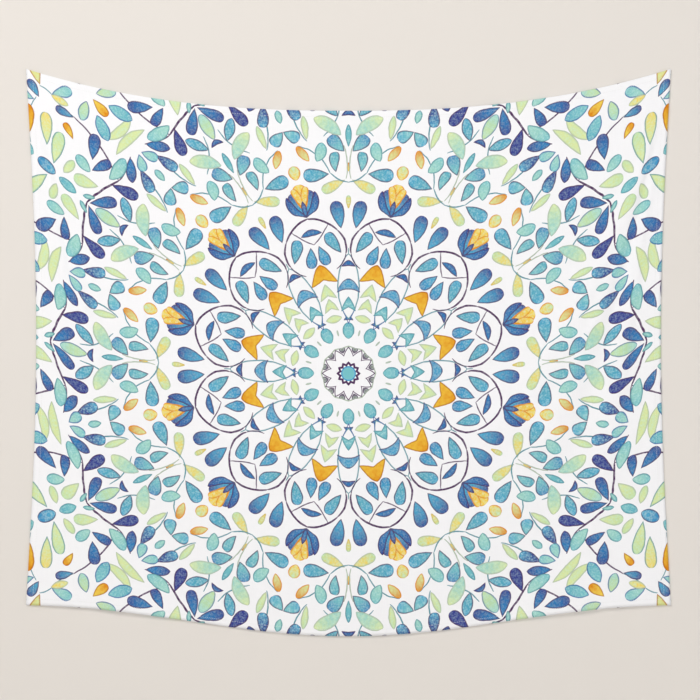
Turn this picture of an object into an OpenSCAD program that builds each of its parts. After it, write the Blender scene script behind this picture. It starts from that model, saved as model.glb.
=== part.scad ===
// Printed wall hanging: one sheet of light cloth with a narrow sewn hem all round.
// Two eyelet tabs, hidden behind the upper corners, hang it on two wall nails.
// Frame: X to the right, Z up, the front faces -Y and the wall is the plane y = 0.
// The origin is midway between the two eyelets, on the wall.

/* [Hung outline] */
// Distance between the upper corners as it hangs
hung_w = 1508; // [900:2:2600]
// Height of a side edge, from the upper corner to the lower one
side_h = 1254; // [700:2:2200]
// How far the middle of the top edge hangs below the upper corners
top_sag = 98; // [40:1:160]
// Exponent of the top edge's curve: larger gives sharper ears
top_curve = 2.4; // [1.8:0.1:3.2]
// How far the middle of the lower edge hangs below the lower corners
bottom_sag = 72; // [0:1:120]
// How far each side edge is pulled in at mid height
side_pull = 24; // [0:1:50]

/* [Cloth] */
// Thickness of the printed cloth's stand-in
cloth_t = 1; // [0.6:0.1:2]
// Width of the turned hem
hem_w = 20; // [12:1:40]
// Thickness of the turned hem's stand-in
hem_t = 1; // [0.6:0.1:2]
// Distance from the cloth's edge to the row of hem stitching
stitch_inset = 15; // [8:1:36]
// Width of a row of stitching
stitch_w = 0.9; // [0.5:0.1:2]
// Height of a row of stitching above the hem
stitch_t = 0.4; // [0.2:0.1:0.8]

/* [Hanging tabs] */
// Distance from an upper corner in to the eyelet's centre
eyelet_in = 17; // [14:1:40]
// Distance from an upper corner down to the eyelet's centre
eyelet_down = 17; // [16:1:40]
// Radius of the eyelet's hole
eyelet_r = 4; // [2.5:0.5:5]
// Wall of the eyelet's barrel
barrel_wall = 0.9; // [0.5:0.1:1.2]
// Width of the eyelet's flange beyond its barrel
flange_w = 2.3; // [1.5:0.1:3]
// Thickness of each eyelet flange
flange_t = 0.7; // [0.4:0.1:1]
// Width of the tab's tape
tape_w = 18; // [16:1:26]
// Thickness of the tab's doubled tape
tape_t = 1.2; // [0.8:0.1:2]

/* [Swing] */
// Distance from the eyelet's centre down to the line the cloth swings about
swing_down = 14; // [12:1:24]
// Gap left on each side of that line
swing_gap = 0.8; // [0.5:0.1:1.5]

/* [Care label] */
// Length of the blank care label, from its sewn edge
label_l = 45; // [25:1:80]
// Height of the care label along the hem
label_h = 24; // [15:1:50]
// Thickness of the folded care label
label_t = 0.6; // [0.4:0.1:1]
// Distance from the lower corner up to the label's middle
label_up = 210; // [100:10:500]
// Gap between the label's sewn edge and the hem
label_gap = 1; // [0.8:0.1:2]

/* [Hidden] */
$fn = 48;

edge_steps = 44;
half_w = hung_w / 2;
corner_z = eyelet_down;
low_corner_z = corner_z - side_h;
eyelet_x = half_w - eyelet_in;
barrel_r = eyelet_r + barrel_wall;
flange_r = barrel_r + flange_w;
swing_z = -swing_down;

// Gap where the lower hem's ends meet the side hems
mitre_gap = 1.8;

// Layers, counted from the wall forwards
tab_back_y = -flange_t;
tab_front_y = tab_back_y - tape_t;
eyelet_front_y = tab_front_y - flange_t;
flange_clear = 0.2;
foot_front_y = eyelet_front_y - flange_clear;
hem_front_y = foot_front_y - hem_t;
cloth_front_y = hem_front_y - cloth_t;

// Tab: its sewn foot stands just above the swing line
foot_low_z = swing_z + swing_gap + flange_clear;
foot_high_z = -flange_r - flange_clear;
tack_w = tape_w - 5;
tack_h = 1.2;
tack_low_z = foot_low_z + 0.7;
tack_pitch = 2.2;

// Care label
label_z = low_corner_z + label_up;
label_sink = 0.1;
label_back_y = foot_front_y - label_sink;
label_x = -side_x(label_z + label_h / 2, 0) + hem_w + label_gap;
label_tack_inset = stitch_inset + stitch_w + 1.6;

// Share of the height hung below the upper corner, 0 at the top and 1 at the lower corner
function drop(z) = max(0, min(1, (corner_z - z) / side_h));
// Half width of the hanging at a height, less an inset
function side_x(z, inset) = half_w - side_pull * sin(180 * drop(z)) - inset;
// Height of the top edge at x
function top_z(x) = corner_z - top_sag * (1 - pow(min(1, abs(x) / half_w), top_curve));
// Height of the lower edge at x
function low_z(x) = low_corner_z - bottom_sag * (1 - pow(sin(90 * min(1, abs(x) / half_w)), 2));

// Points of an edge, from one share of its run to the other
function along_top(x0, x1, inset) =
    [for (i = [0 : edge_steps]) let (x = x0 + (x1 - x0) * i / edge_steps) [x, top_z(x) - inset]];
function along_low(x0, x1, inset) =
    [for (i = [0 : edge_steps]) let (x = x0 + (x1 - x0) * i / edge_steps) [x, low_z(x) + inset]];
function along_side(z0, z1, inset, side) =
    [for (i = [0 : edge_steps]) let (z = z0 + (z1 - z0) * i / edge_steps) [side * side_x(z, inset), z]];
function reversed(points) = [for (i = [len(points) - 1 : -1 : 0]) points[i]];

// A flat solid of an outline in X and Z, between two planes of Y
module layer(points, back_y, front_y) {
    translate([0, back_y, 0])
        rotate([90, 0, 0])
            linear_extrude(height = back_y - front_y)
                polygon(points);
}

// The whole hung outline, clockwise from the upper left corner
module hung_sheet(back_y, front_y) {
    outline = concat(
        along_top(-half_w, half_w, 0),
        along_side(corner_z - 1, low_corner_z + 1, 0, 1),
        along_low(half_w, -half_w, 0),
        along_side(low_corner_z + 1, corner_z - 1, 0, -1)
    );
    layer(outline, back_y, front_y);
}

// Everything above or below a height
module keep_above(z) {
    translate([-hung_w, -50, z])
        cube([2 * hung_w, 100, 200]);
}
module keep_below(z) {
    translate([-hung_w, -50, z - 2 * side_h])
        cube([2 * hung_w, 100, 2 * side_h]);
}
module keep_side(side) {
    translate([side > 0 ? 0 : -hung_w, -50, -side_h])
        cube([hung_w, 100, 2 * side_h]);
}

// Strip of a horizontal edge between two insets, and of a side edge between two insets
module edge_strip(is_top, inset_0, inset_1, end_inset, back_y, front_y) {
    reach = side_x(is_top ? top_z(half_w * 0.9) : low_corner_z, end_inset);
    points = is_top
        ? concat(along_top(-reach, reach, inset_0), along_top(reach, -reach, inset_1))
        : concat(along_low(-reach, reach, inset_0), along_low(reach, -reach, inset_1));
    layer(points, back_y, front_y);
}
module side_strip(side, inset_0, inset_1, end_inset, back_y, front_y) {
    high = swing_z - swing_gap;
    low = low_z(side_x(low_corner_z, inset_1)) + end_inset;
    points = concat(
        along_side(high, low, inset_0, side),
        along_side(low, high, inset_1, side)
    );
    layer(points, back_y, front_y);
}

// Eyelet tab of doubled tape, with a round top end and a thicker sewn foot
module tab(side) {
    color("ivory")
        translate([side * eyelet_x, 0, 0])
            difference() {
                union() {
                    translate([0, tab_back_y, 0])
                        rotate([90, 0, 0])
                            cylinder(r = tape_w / 2, h = tape_t);
                    translate([-tape_w / 2, tab_front_y, foot_low_z])
                        cube([tape_w, tape_t, -foot_low_z]);
                    translate([-tape_w / 2, foot_front_y, foot_low_z])
                        cube([tape_w, tab_back_y - foot_front_y, foot_high_z - foot_low_z]);
                }
                translate([0, 1, 0])
                    rotate([90, 0, 0])
                        cylinder(r = barrel_r, h = 10);
            }
}

// Pressed metal eyelet: a barrel with a flange on each face of the tape
module eyelet(side) {
    color("silver")
        translate([side * eyelet_x, 0, 0])
            rotate([90, 0, 0])
                difference() {
                    union() {
                        cylinder(r = barrel_r, h = -eyelet_front_y);
                        cylinder(r = flange_r, h = flange_t);
                        translate([0, 0, -tab_front_y])
                            cylinder(r = flange_r, h = flange_t);
                    }
                    translate([0, 0, -1])
                        cylinder(r = eyelet_r, h = 10);
                }
}

// Two close rows of thread that sew the tab's foot to the corner
module tab_stitching(side) {
    color("white")
        for (row = [0 : 1])
            translate([side * eyelet_x - tack_w / 2, tab_back_y, tack_low_z + row * tack_pitch])
                cube([tack_w, stitch_t, tack_h]);
}

// Upper corner of the cloth above the swing line, folded double where the tab is sewn
module corner(side) {
    color("whitesmoke")
        intersection() {
            hung_sheet(foot_front_y, cloth_front_y);
            keep_above(swing_z + swing_gap);
            keep_side(side);
        }
}

// The printed cloth below the swing line
module printed_panel() {
    color("lightblue")
        intersection() {
            hung_sheet(hem_front_y, cloth_front_y);
            keep_below(swing_z - swing_gap);
        }
}

// Turned hems, behind the printed cloth
module top_hem() {
    color("aliceblue")
        intersection() {
            edge_strip(true, 0, hem_w, hem_w + mitre_gap, foot_front_y, hem_front_y);
            keep_below(swing_z - swing_gap);
        }
}
module bottom_hem() {
    color("aliceblue")
        edge_strip(false, 0, hem_w, hem_w + mitre_gap, foot_front_y, hem_front_y);
}
module side_hem(side) {
    color("aliceblue")
        side_strip(side, 0, hem_w, 0.4, foot_front_y, hem_front_y);
}

// Rows of stitching on the hems
module top_hem_stitching() {
    color("white")
        intersection() {
            edge_strip(true, stitch_inset, stitch_inset + stitch_w, hem_w + mitre_gap,
                foot_front_y + stitch_t, foot_front_y);
            keep_below(swing_z - swing_gap);
        }
}
module bottom_hem_stitching() {
    color("white")
        edge_strip(false, stitch_inset, stitch_inset + stitch_w, hem_w + mitre_gap,
            foot_front_y + stitch_t, foot_front_y);
}
module side_hem_stitching(side) {
    color("white")
        side_strip(side, stitch_inset, stitch_inset + stitch_w, hem_w,
            foot_front_y + stitch_t, foot_front_y);
}

// Blank folded care label behind the left hem, and the tack that holds its edge
module care_label() {
    color("snow")
        translate([label_x, label_back_y - label_t, label_z - label_h / 2])
            cube([label_l, label_t, label_h]);
}
module care_label_stitching() {
    color("white")
        translate([-side_x(label_z, label_tack_inset), foot_front_y, label_z - label_h / 2 + 1])
            cube([stitch_w, stitch_t, label_h - 2]);
}

tab(-1);  // left_tab
tab(1);  // right_tab
eyelet(-1);  // left_eyelet
eyelet(1);  // right_eyelet
tab_stitching(-1);  // left_tab_stitching
tab_stitching(1);  // right_tab_stitching
corner(-1);  // left_corner
corner(1);  // right_corner
printed_panel();
top_hem();
bottom_hem();
side_hem(-1);  // left_hem
side_hem(1);  // right_hem
top_hem_stitching();
bottom_hem_stitching();
side_hem_stitching(-1);  // left_hem_stitching
side_hem_stitching(1);  // right_hem_stitching
care_label_stitching();
care_label();
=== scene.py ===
"""Printed wall hanging: a hung sheet of light cloth with a botanical mandala print.

Lengths are metres in the shared frame, where the front faces -Y and the wall is the plane y = 0.
Lengths in the print's own layout are millimetres on the flat cloth, from the sheet's centre.
"""

import logging
import math
from dataclasses import dataclass, field
from enum import Enum
from typing import Optional, Sequence, Union

import bmesh
import bpy
from mathutils import Matrix, Vector


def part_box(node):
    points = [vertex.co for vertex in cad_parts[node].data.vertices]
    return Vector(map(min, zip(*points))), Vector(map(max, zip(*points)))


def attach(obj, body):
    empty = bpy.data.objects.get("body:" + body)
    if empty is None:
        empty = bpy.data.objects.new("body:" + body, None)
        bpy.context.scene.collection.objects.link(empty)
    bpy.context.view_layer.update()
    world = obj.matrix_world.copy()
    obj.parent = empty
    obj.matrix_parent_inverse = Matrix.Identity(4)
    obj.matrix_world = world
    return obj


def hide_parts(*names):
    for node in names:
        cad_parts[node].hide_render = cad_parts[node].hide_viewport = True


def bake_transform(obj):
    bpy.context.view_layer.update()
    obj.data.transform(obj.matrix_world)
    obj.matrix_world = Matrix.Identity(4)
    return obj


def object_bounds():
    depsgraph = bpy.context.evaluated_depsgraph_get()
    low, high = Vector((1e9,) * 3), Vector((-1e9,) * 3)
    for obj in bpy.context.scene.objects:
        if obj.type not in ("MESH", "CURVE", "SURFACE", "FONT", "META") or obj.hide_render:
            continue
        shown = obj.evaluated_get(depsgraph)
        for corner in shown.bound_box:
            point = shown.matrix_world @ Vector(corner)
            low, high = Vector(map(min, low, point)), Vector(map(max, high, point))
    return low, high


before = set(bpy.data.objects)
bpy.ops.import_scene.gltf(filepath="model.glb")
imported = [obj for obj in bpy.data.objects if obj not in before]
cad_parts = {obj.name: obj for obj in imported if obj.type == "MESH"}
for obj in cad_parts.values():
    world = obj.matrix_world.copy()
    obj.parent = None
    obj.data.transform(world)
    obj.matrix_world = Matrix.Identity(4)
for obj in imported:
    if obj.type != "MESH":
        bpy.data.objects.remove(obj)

logging.basicConfig(level=logging.INFO, format="%(message)s")
LOG = logging.getLogger("wall_hanging")

CAD_LOW, CAD_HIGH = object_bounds()
MM = 0.001
CLOTH_BODY = "cloth"
WALL_BODY = "hangers"
WEDGES = 12
HALF_WEDGE = math.pi / WEDGES


# ---------------------------------------------------------------- pigments

class Pigment(Enum):
    """Inks of the print, as display colours."""

    PAPER = "F1F1F4"
    MIST = "D2EEE6"
    TURQUOISE = "74BDC5"
    AQUA = "9BCFC4"
    TEAL = "52A3BA"
    SKY = "4CA3C9"
    BLUE = "2F7BB5"
    NAVY = "2A559B"
    INDIGO = "353F8C"
    PLUM = "4E2C58"
    MOSS = "BFDBA4"
    LIME = "D6E2A0"
    YELLOW = "EDD158"
    AMBER = "D98206"
    GOLD = "E8BC3E"
    EARTH = "A8601A"
    SAGE = "A9B8A6"
    LINE = "4C8B98"

    @property
    def linear(self) -> tuple[float, float, float, float]:
        """The ink as a linear colour with full alpha."""
        parts = [int(self.value[i:i + 2], 16) / 255 for i in (0, 2, 4)]
        return (*[linear_channel(part) for part in parts], 1.0)


def linear_channel(value: float) -> float:
    """One display channel, from 0 to 1, in linear light."""
    return value / 12.92 if value <= 0.04045 else ((value + 0.055) / 1.055) ** 2.4


# ---------------------------------------------------------------- node helpers

Source = Union[bpy.types.NodeSocket, float, Sequence[float]]
FLOAT = "NodeSocketFloat"
VECTOR = "NodeSocketVector"
COLOUR = "NodeSocketColor"


@dataclass
class Graph:
    """Adds nodes to one tree, in the order in which they are worked out."""

    tree: bpy.types.NodeTree

    def add(self, kind: str, **settings) -> bpy.types.Node:
        """Adds a node and sets its properties.

        Args:
            kind: The node's Blender type.
            settings: Properties of the node, by name.

        Returns:
            The new node.
        """
        node = self.tree.nodes.new(kind)
        for name, value in settings.items():
            setattr(node, name, value)
        return node

    def feed(self, socket: bpy.types.NodeSocket, source: Source) -> None:
        """Links a socket to a source, or sets it to a plain value.

        Args:
            socket: The input to feed.
            source: An output socket, a number, a colour or a vector.
        """
        if isinstance(source, bpy.types.NodeSocket):
            self.tree.links.new(source, socket)
        else:
            socket.default_value = source

    def math(self, operation: str, *sources: Source, clamp: bool = False) -> bpy.types.NodeSocket:
        """Adds a Math node.

        Args:
            operation: The Math node's operation.
            sources: Its inputs, in order.
            clamp: Whether the result is kept from 0 to 1.

        Returns:
            The result's socket.
        """
        node = self.add("ShaderNodeMath", operation=operation, use_clamp=clamp)
        for socket, source in zip(node.inputs, sources):
            self.feed(socket, source)
        return node.outputs[0]

    def vector(self, operation: str, *sources: Source, output: str = "Vector") -> bpy.types.NodeSocket:
        """Adds a Vector Math node.

        Args:
            operation: The Vector Math node's operation.
            sources: Its inputs, in order.
            output: The name of the output to use.

        Returns:
            The result's socket.
        """
        node = self.add("ShaderNodeVectorMath", operation=operation)
        for socket, source in zip(node.inputs, sources):
            self.feed(socket, source)
        return node.outputs[output]

    def parts(self, source: Source) -> bpy.types.NodeOutputs:
        """Separates a vector into its three parts."""
        node = self.add("ShaderNodeSeparateXYZ")
        self.feed(node.inputs[0], source)
        return node.outputs

    def wave(self, angle: Source) -> bpy.types.NodeSocket:
        """A sine wave that runs from 0 to 1."""
        return self.math("MULTIPLY_ADD", self.math("SINE", angle), 0.5, 0.5)

    def share(self, first: Source, second: Source, part: float) -> bpy.types.NodeSocket:
        """Adds two values in shares: the first by its part, and the second by the rest."""
        return self.math("MULTIPLY_ADD", first, part, self.math("MULTIPLY", second, 1 - part))

    def object_place(self) -> bpy.types.NodeSocket:
        """The place on the piece in the shared frame, in metres."""
        return self.add("ShaderNodeTexCoord").outputs["Object"]

    def mix(self, factor: Source, under: Source, over: Source, blend: str = "MIX") -> bpy.types.NodeSocket:
        """Adds a colour Mix node.

        Args:
            factor: How much of the second colour shows.
            under: The first colour.
            over: The second colour.
            blend: The blend type.

        Returns:
            The mixed colour's socket.
        """
        node = self.add("ShaderNodeMix", data_type="RGBA", blend_type=blend)
        self.feed(node.inputs["Factor"], factor)
        self.feed(node.inputs[6], under)
        self.feed(node.inputs[7], over)
        return node.outputs[2]

    def ramp(self, value: Source, low: float, high: float) -> bpy.types.NodeSocket:
        """Maps a value from a span to 0 to 1, clamped.

        Args:
            value: The value to map.
            low: Where the result is 0.
            high: Where the result is 1.

        Returns:
            The mapped value's socket.
        """
        node = self.add("ShaderNodeMapRange", clamp=True)
        self.feed(node.inputs["Value"], value)
        self.feed(node.inputs["From Min"], low)
        self.feed(node.inputs["From Max"], high)
        return node.outputs["Result"]

    def noise(self, point: Source, scale: float, detail: float, output: str = "Fac") -> bpy.types.NodeSocket:
        """Adds a noise texture.

        Args:
            point: Where it is read.
            scale: Its scale, per unit of the point.
            detail: Its octaves.
            output: Fac or Color.

        Returns:
            The noise's socket.
        """
        node = self.add("ShaderNodeTexNoise")
        self.feed(node.inputs["Vector"], point)
        self.feed(node.inputs["Scale"], scale)
        self.feed(node.inputs["Detail"], detail)
        return node.outputs[output]


@dataclass
class Effect:
    """A shader node group with named inputs and outputs, built once."""

    name: str
    inputs: dict[str, str]
    outputs: dict[str, str]
    tree: Optional[bpy.types.NodeTree] = None

    def begin(self) -> tuple[Graph, bpy.types.NodeOutputs]:
        """Makes the empty group with its sockets.

        Returns:
            The group's graph and its input sockets.
        """
        self.tree = bpy.data.node_groups.new(self.name, "ShaderNodeTree")
        for way, labels in (("INPUT", self.inputs), ("OUTPUT", self.outputs)):
            for label, kind in labels.items():
                self.tree.interface.new_socket(label, in_out=way, socket_type=kind)
        graph = Graph(self.tree)
        return graph, graph.add("NodeGroupInput").outputs

    def end(self, graph: Graph, **results: Source) -> None:
        """Feeds the group's outputs.

        Args:
            graph: The group's graph.
            results: Sources by output name, with underscores for spaces.
        """
        out = graph.add("NodeGroupOutput")
        for label, source in results.items():
            graph.feed(out.inputs[label.replace("_", " ")], source)

    def place(self, graph: Graph, **values: Source) -> bpy.types.Node:
        """Places the group in a tree with its own values.

        Args:
            graph: The graph to place it in.
            values: Sources by input name, with underscores for spaces.

        Returns:
            The group node.
        """
        node = graph.add("ShaderNodeGroup", node_tree=self.tree)
        for label, source in values.items():
            graph.feed(node.inputs[label.replace("_", " ")], source)
        return node


def sockets(kind: str, *labels: str) -> dict[str, str]:
    """Names several sockets of one kind."""
    return dict.fromkeys(labels, kind)


# ---------------------------------------------------------------- the print's layout

Place = tuple[float, float]


def on_axis(radius: float) -> Place:
    """A place on the wedge's middle line, from its radius in millimetres."""
    return (radius, 0.0)


def on_seam(radius: float) -> Place:
    """A place on the line between two mirrored wedges, from its radius in millimetres."""
    return (radius * math.cos(HALF_WEDGE), radius * math.sin(HALF_WEDGE))


def off_seam(radius: float, side: float) -> Place:
    """A place some way out along the seam and some way to the axis's side of it, in millimetres."""
    cos, sin = math.cos(HALF_WEDGE), math.sin(HALF_WEDGE)
    return (radius * cos + side * sin, radius * sin - side * cos)


def across_seam(place: Place) -> Place:
    """Mirrors a place in the line between two wedges.

    Args:
        place: The place along and across the wedge.

    Returns:
        The mirrored place.
    """
    radius = math.hypot(*place)
    angle = 2 * HALF_WEDGE - math.atan2(place[1], place[0])
    return (radius * math.cos(angle), radius * math.sin(angle))


class LeafForm(Enum):
    """Outlines of a painted leaf: the powers that close it at its root and at its tip."""

    LEAF = (0.75, 0.6)
    DROP = (0.95, 0.42)
    BUD = (0.6, 0.5)
    PETAL = (0.7, 0.7)
    LENS = (0.8, 0.8)
    WING = (1.0, 0.35)

    @property
    def peak(self) -> float:
        """What makes the outline's widest place 1."""
        root, tip = self.value
        widest = root / (root + tip)
        return 1 / (widest ** root * (1 - widest) ** tip)


class Motif:
    """One drawn or painted element of the print."""

    @property
    def reach(self) -> tuple[float, float]:
        """The least and greatest radius it may cover, in millimetres."""
        raise NotImplementedError


def reach_of(places: Sequence[Place], spread: float) -> tuple[float, float]:
    """The least and greatest radius of a motif, from its ends and how far it spreads from them."""
    radii = [math.hypot(*place) for place in places]
    return min(radii) - spread, max(radii) + spread


@dataclass(frozen=True)
class Leaf(Motif):
    """One painted leaf, petal or bud, from its root to its tip."""

    root: Place
    tip: Place
    width: float
    form: LeafForm
    wash: tuple[Pigment, Pigment]
    bend: float = 0.0
    rim: Pigment = Pigment.PLUM
    rim_strength: float = 0.95

    @property
    def bloom(self) -> str:
        """The pale bloom that its ink takes: none, faint or full."""
        if self.wash[1] in (Pigment.AMBER, Pigment.GOLD, Pigment.PAPER):
            return "none"
        return "faint" if self.wash[1] in (Pigment.INDIGO, Pigment.PLUM) else "full"

    @property
    def reach(self) -> tuple[float, float]:
        """The radii it may cover, which take in its width and its bend."""
        return reach_of((self.root, self.tip), self.width / 2 + abs(self.bend))


@dataclass(frozen=True)
class Stem(Motif):
    """One fine drawn line between two places, with a bow to one side."""

    start: Place
    end: Place
    bow: float = 0.0
    width: float = 1.9
    ink: Pigment = Pigment.LINE

    @property
    def reach(self) -> tuple[float, float]:
        """The radii it may cover, which take in its bow."""
        return reach_of((self.start, self.end), self.width + abs(self.bow))


@dataclass(frozen=True)
class Hoop(Motif):
    """A drawn circle, or a disc where the radius is 0."""

    centre: Place
    radius: float
    width: float
    ink: Pigment

    @property
    def reach(self) -> tuple[float, float]:
        """The radii it may cover."""
        return reach_of((self.centre,), self.radius + self.width)


@dataclass(frozen=True)
class StarLine(Motif):
    """A line round the centre that runs from one radius on the axis to another on the seam."""

    on_axis: float
    on_seam: float
    width: float
    ink: Pigment

    @property
    def reach(self) -> tuple[float, float]:
        """The radii it may cover."""
        return reach_of((on_axis(self.on_axis), on_seam(self.on_seam)), self.width)


P = Pigment
F = LeafForm
BLUES = (P.SKY, P.BLUE)
DEEP_BLUES = (P.SKY, P.INDIGO)
NAVIES = (P.BLUE, P.INDIGO)
TEALS = (P.TURQUOISE, P.TEAL)
POOLS = (P.TEAL, P.SKY)
PALE_TEALS = (P.AQUA, P.TURQUOISE)
GREENS = (P.LIME, P.MOSS)
SPRING = (P.YELLOW, P.MOSS)
SUNS = (P.YELLOW, P.AMBER)
SUNSHINE = (P.GOLD, P.YELLOW)
EMBERS = (P.GOLD, P.AMBER)
FRESH = (P.MOSS, P.AQUA)
BARE = (P.PAPER, P.PAPER)

HEART = [
    Hoop((0, 0), 0, 14, P.TURQUOISE),
    Hoop((0, 0), 16, 2.5, P.SKY),
    StarLine(26, 20, 3.8, P.PLUM),
    StarLine(64, 44, 2.2, P.PLUM),
    StarLine(66, 62, 1.8, P.SAGE),
    Leaf(on_seam(49), on_seam(64), 15, F.WING, (P.PLUM, P.SAGE)),
    Leaf(on_seam(108), on_seam(92), 6, F.LENS, (P.SAGE, P.SAGE), rim_strength=0.1),
    Leaf(on_axis(84), on_axis(124), 29, F.BUD, TEALS, rim=P.LINE),
    Leaf((128, -12), (128, 12), 11, F.LENS, BLUES, bend=-7),
    Leaf((136, 16), across_seam((136, 16)), 20, F.LENS, GREENS, rim=P.SAGE, rim_strength=0.9),
    Leaf((152, 22), (176, 62), 22, F.WING, GREENS, rim=P.SAGE, rim_strength=0.9),
    Leaf((182, 26), (210, 72), 23, F.WING, GREENS, rim=P.SAGE, rim_strength=0.9),
    Leaf((222, 24), (252, 86), 34, F.WING, EMBERS, rim=P.EARTH),
    Leaf(on_axis(132), on_axis(290), 55, F.PETAL, BARE, rim=P.LINE, rim_strength=1.4),
    Leaf((150, 19), (186, -13), 21, F.WING, TEALS, rim=P.LINE),
    Leaf((196, -29), (196, 29), 27, F.LENS, BLUES, bend=-20),
    Leaf((258, -17), (258, 17), 15, F.LENS, NAVIES, bend=-9),
    Stem(on_axis(120), (154, 15), -1, width=1.4, ink=P.NAVY),
    Stem(on_axis(288), on_axis(304)),
]

GARLAND = [
    Stem(on_seam(386), (346, 26), 8, width=2.8, ink=P.PLUM),
    Stem((346, 26), (290, 6), 8, width=2.6, ink=P.PLUM),
    Stem((290, 6), (252, 28), 4, width=1.7, ink=P.PLUM),
    Leaf((308, 72), (262, 50), 28, F.DROP, BLUES),
    Leaf((291, 17), (338, 54), 30, F.DROP, POOLS),
    Leaf((340, 64), across_seam((340, 64)), 18, F.LENS, NAVIES, bend=-6),
    Stem((360, 50), on_seam(320), 2, width=1.7, ink=P.PLUM),
    Leaf((350, 17), (416, 32), 35, F.DROP, DEEP_BLUES),
    Leaf(on_axis(398), on_axis(430), 13, F.DROP, SPRING, rim_strength=0.3),
    Leaf(on_seam(388), off_seam(454, 20), 34, F.DROP, DEEP_BLUES, bend=-7),
    Leaf(on_seam(402), on_seam(470), 38, F.DROP, SUNSHINE, rim=P.AMBER),
    Leaf(on_seam(406), off_seam(462, 17), 20, F.DROP, SUNSHINE, rim=P.AMBER, bend=2),
    Leaf(on_seam(390), on_seam(430), 14, F.LENS, NAVIES),
    Leaf(on_seam(392), off_seam(446, 36), 21, F.LEAF, NAVIES, bend=-10),
    Leaf((468, 8), (440, 64), 27, F.DROP, SPRING, rim=P.SAGE),
    Stem(on_axis(462), (484, 44), 4, width=1.9),
    Leaf((482, 46), (476, 108), 34, F.DROP, POOLS),
    Leaf((486, 30), (536, 32), 27, F.DROP, TEALS, bend=3),
    Leaf(on_seam(482), on_seam(516), 30, F.BUD, SPRING, rim=P.AMBER),
    Leaf(on_axis(488), on_axis(510), 10, F.BUD, SUNS, rim_strength=0.2),
    Stem((470, 6), (552, 12), -6, ink=P.SAGE),
]

SPRAYS = [
    Stem((484, 44), (548, 122), -14),
    Stem((573, 60), (655, 20), -10),
    Stem((560, 98), (640, 135), 8),
    Leaf((511, 76), (558, 62), 29, F.LEAF, PALE_TEALS, bend=-3, rim=P.LINE),
    Leaf((512, 94), (546, 124), 22, F.LEAF, (P.LIME, P.AMBER), rim=P.AMBER),
    Leaf((536, 10), (573, 46), 34, F.DROP, (P.TURQUOISE, P.BLUE)),
    Leaf(on_seam(602), (564, 117), 32, F.DROP, (P.TURQUOISE, P.SKY)),
    Leaf((564, 99), (622, 108), 19, F.LEAF, GREENS, rim=P.SAGE),
    Leaf((576, 17), (618, 82), 35, F.LEAF, (P.AQUA, P.LIME), bend=-4, rim=P.SAGE),
    Leaf(on_axis(548), on_axis(602), 15, F.LEAF, TEALS, rim=P.LINE),
    Leaf((622, -17), (622, 17), 15, F.LENS, NAVIES, bend=-9),
    Leaf(on_axis(638), on_axis(704), 31, F.BUD, FRESH, rim=P.NAVY, rim_strength=0.8),
    Leaf((622, 26), (664, 65), 27, F.LEAF, POOLS),
    Leaf((661, 149), (612, 119), 29, F.DROP, (P.INDIGO, P.SKY)),
    Leaf(on_seam(622), on_seam(656), 19, F.LENS, PALE_TEALS, rim=P.LINE),
]

POLYGON = [
    Stem(on_axis(728), (690, 92), -3, width=3.0, ink=P.PLUM),
    Stem((690, 92), (694, 160), 5, width=2.2, ink=P.PLUM),
    Stem((690, 92), (842, 152), 12, width=2.2, ink=P.PLUM),
    Leaf((716, 22), (742, 8), 12, F.LEAF, PALE_TEALS, rim=P.LINE),
    Leaf((722, 3), (670, 46), 28, F.DROP, (P.BLUE, P.INDIGO)),
    Leaf((699, 74), (634, 88), 29, F.DROP, (P.INDIGO, P.INDIGO)),
    Leaf((692, 157), (662, 108), 26, F.LEAF, NAVIES),
    Leaf(off_seam(704, 4), off_seam(668, 24), 25, F.DROP, PALE_TEALS, rim=P.NAVY),
    Leaf((709, 82), (702, 147), 32, F.LEAF, PALE_TEALS, bend=4, rim=P.LINE),
    Leaf((722, 142), across_seam((722, 142)), 25, F.LENS, GREENS, bend=-8, rim=P.SAGE),
    Leaf((760, 156), across_seam((760, 156)), 25, F.LENS, GREENS, bend=8, rim=P.SAGE),
    Leaf((722, 50), (778, 28), 31, F.DROP, GREENS, rim=P.SAGE),
    Leaf(on_axis(756), on_axis(802), 24, F.BUD, TEALS, rim=P.LINE),
    Leaf((800, 18), (794, 62), 21, F.LEAF, GREENS, rim=P.SAGE),
    Leaf((754, 66), (797, 78), 27, F.BUD, PALE_TEALS, rim=P.LINE),
    Leaf((762, 94), (784, 152), 31, F.DROP, NAVIES),
    Leaf((752, 72), (724, 118), 26, F.DROP, NAVIES),
]

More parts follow.
